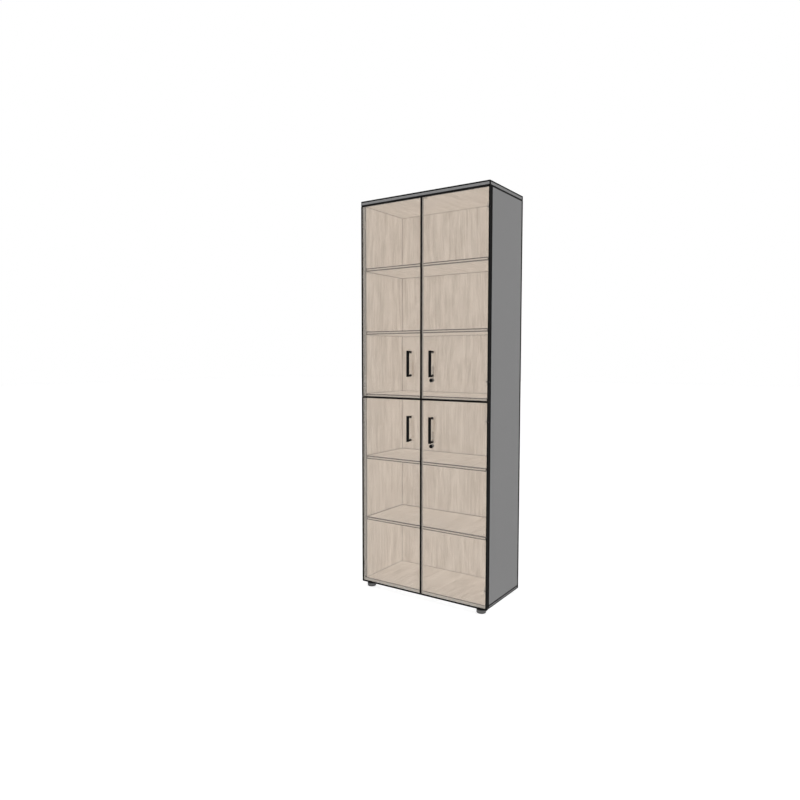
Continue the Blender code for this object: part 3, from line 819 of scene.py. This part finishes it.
def add_flush_screws(name, places, outward, material):
    """Small flush screw heads on a face of the carcass that looks along outward."""
    turn = Vector(backward).rotation_difference(Vector(outward)).to_matrix().to_4x4()
    heads = []
    for place in places:
        head = turned(flush_head_shares, flush_head_radius, flush_head_height, steps=flush_head_steps)
        move = Matrix.Translation(Vector(place) + Vector(outward) * seat)
        bmesh.ops.transform(head, matrix=move @ turn, verts=head.verts)
        heads.append(head)
    piece(name, merged(heads), material, "carcass")


def add_catch_screws(row, material):
    """Two screws under a magnetic catch."""
    low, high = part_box(f"{row}_magnet_catch")
    y = (low.y + high.y) / 2
    places = [(x, y, low.z) for x in (-catch_screw_x, catch_screw_x)]
    add_flush_screws(f"{row}_catch_screws", places, down, material)


def add_hinge_screws(bracket, material):
    """Two screws in a hinge bracket's plate."""
    low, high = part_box(bracket)
    x = math.copysign(hinge_plate_x, low.x)
    middle = (low.z + high.z) / 2
    places = [(x, carcass_front_y, middle + z) for z in (-hinge_screw_z, hinge_screw_z)]
    add_flush_screws(bracket.replace("_bracket", "_screws"), places, forward, material)


def add_camera():
    """The photograph's view."""
    camera = bpy.data.cameras.new("camera")
    camera.sensor_width = sensor_mm
    camera.lens = lens_mm
    seen = into_scene("camera", camera)
    seen.location = camera_place
    seen.rotation_euler = (math.radians(90 + camera_pitch_deg), 0, math.radians(camera_yaw_deg))
    bpy.context.scene.camera = seen


def seen_directly(tree):
    """1 for what the eye, a mirror or clear glass shows, 0 for light on surfaces."""
    path = tree.nodes.new("ShaderNodeLightPath").outputs
    seen = path["Is Camera Ray"]
    for name in ("Is Glossy Ray", "Is Transmission Ray"):
        either = tree.nodes.new("ShaderNodeMath")
        either.operation = "MAXIMUM"
        tree.links.new(seen, either.inputs[0])
        tree.links.new(path[name], either.inputs[1])
        seen = either.outputs[0]
    return seen


def add_world():
    """White to the eye, to mirrors and through glass, and an even light on surfaces."""
    world = bpy.data.worlds.new("studio")
    bpy.context.scene.world = world
    world.use_nodes = True
    tree = world.node_tree
    back = tree.nodes["Background"]
    back.inputs["Color"].default_value = (*white, 1)
    level = tree.nodes.new("ShaderNodeMapRange")
    level.inputs["To Min"].default_value = world_light
    level.inputs["To Max"].default_value = background_light
    tree.links.new(seen_directly(tree), level.inputs["Value"])
    tree.links.new(level.outputs[0], back.inputs["Strength"])


def add_lamp(name, towards, light, casts_shadow):
    """A wide soft lamp, seen towards a direction from the object."""
    lamp = bpy.data.lights.new(name, "SUN")
    lamp.energy = light * math.pi
    lamp.angle = math.radians(lamp_spread_deg)
    lamp.use_shadow = casts_shadow
    shown = into_scene(name, lamp)
    shown.rotation_mode = "QUATERNION"
    shown.rotation_quaternion = Vector(towards).to_track_quat("Z", "Y")
    shown.visible_glossy = False


def add_lamps():
    """A ring of lamps at a low height, and a fill lamp on each of six sides."""
    height = math.radians(lamp_height_deg)
    for index in range(lamp_count):
        azimuth = math.tau * index / lamp_count
        towards = (math.sin(azimuth) * math.cos(height), -math.cos(azimuth) * math.cos(height),
                   math.sin(height))
        add_lamp(f"lamp_{index}", towards, lamp_light, True)
    for axis in range(3):
        for side in (-1, 1):
            towards = tuple(side if i == axis else 0 for i in range(3))
            add_lamp(f"fill_{axis}_{side}", towards, fill_light[axis], False)


def add_floor():
    """A pale floor that keeps the shadow."""
    shape = bmesh.new()
    bmesh.ops.create_grid(shape, x_segments=1, y_segments=1, size=floor_size / 2)
    bmesh.ops.translate(shape, vec=(0, 0, -floor_drop), verts=shape.verts)
    floor = into_scene("floor", mesh_from("floor", shape))
    look = Look("floor", floor_pale, floor_roughness)
    look.put(look.shader.inputs["Specular IOR Level"], 0.0)
    strength = look.times(seen_directly(look.tree), floor_glow)
    glow = look.node("ShaderNodeEmission", {"Color": white, "Strength": strength}).outputs[0]
    lit = look.node("ShaderNodeAddShader", {0: look.shader.outputs[0], 1: glow}).outputs[0]
    floor.data.materials.append(look.surface(lit))


def paint_boards():
    """The carcass, its back and its shelves."""
    for name, inside in (("side_panel_left", to_right), ("side_panel_right", to_left)):
        paint(name, two_tone_board(name, z_axis, x_axis, inside, front_band, side_widths))
    # The top's front grey is painted lighter, as painted light
    paint("top_panel", two_tone_board("top_panel", y_axis, z_axis, down, top_front_grey_painted_light, top_widths))
    # The bottom's front band is painted lighter, as painted light
    paint("bottom_panel", two_tone_board("bottom_panel", y_axis, z_axis, up, lower_band_painted_light, bottom_widths,
                                         bottom_middle_z))
    paint("back_panel", back_board("back_panel"))
    for shelf in shelves:
        paint(shelf, shelf_board(shelf))


def dress_doors(steel, dull_steel):
    """The doors with their trims and handles, and the locks and catches."""
    glass = door_glass()
    grey_metal = frame_coat()
    black = black_metal()
    rubber = moulded("edge_rubber", rubber_black_and_slot_shade, rubber_finish)
    for door in doors:
        paint(door + "_glass", glass)
        paint(door + "_frame", grey_metal)
        paint(door + "_handle", black)
        add_trim(door, rubber)
        add_handle_fixings(door, rubber, steel)
    beige_plastic = moulded("catch_plastic", catch_beige, catch_finish)
    for row in rows:
        paint(f"{row}_lock_housing", black)
        paint(f"{row}_lock_barrel", black)
        paint(f"{row}_lock_cam", dull_steel)
        paint(f"{row}_magnet_catch", beige_plastic)
        add_lock_nut(row, dull_steel)
        add_catch_screws(row, steel)


def dress_hardware(steel):
    """Hinge brackets with their screws, shelf pins and feet."""
    bracket_lacquer = bracket_coat()
    grey_plastic = moulded("foot_plastic", foot_grey, foot_finish, rims=(0.0, foot_disc_z))
    for name in nodes:
        if name in brackets:
            paint(name, bracket_lacquer)
            add_hinge_screws(name, steel)
        if "_pin_" in name:
            paint(name, steel)
        if name.startswith("foot_"):
            paint(name, grey_plastic)


add_camera()
add_world()
add_lamps()
add_floor()
paint_boards()
zinc_steel = plated_steel("zinc_steel", zinc, zinc_finish)
nickel_steel = plated_steel("nickel_steel", nickel, nickel_finish)
dress_doors(zinc_steel, nickel_steel)
dress_hardware(zinc_steel)

bpy.context.scene.view_settings.view_transform = "Standard"
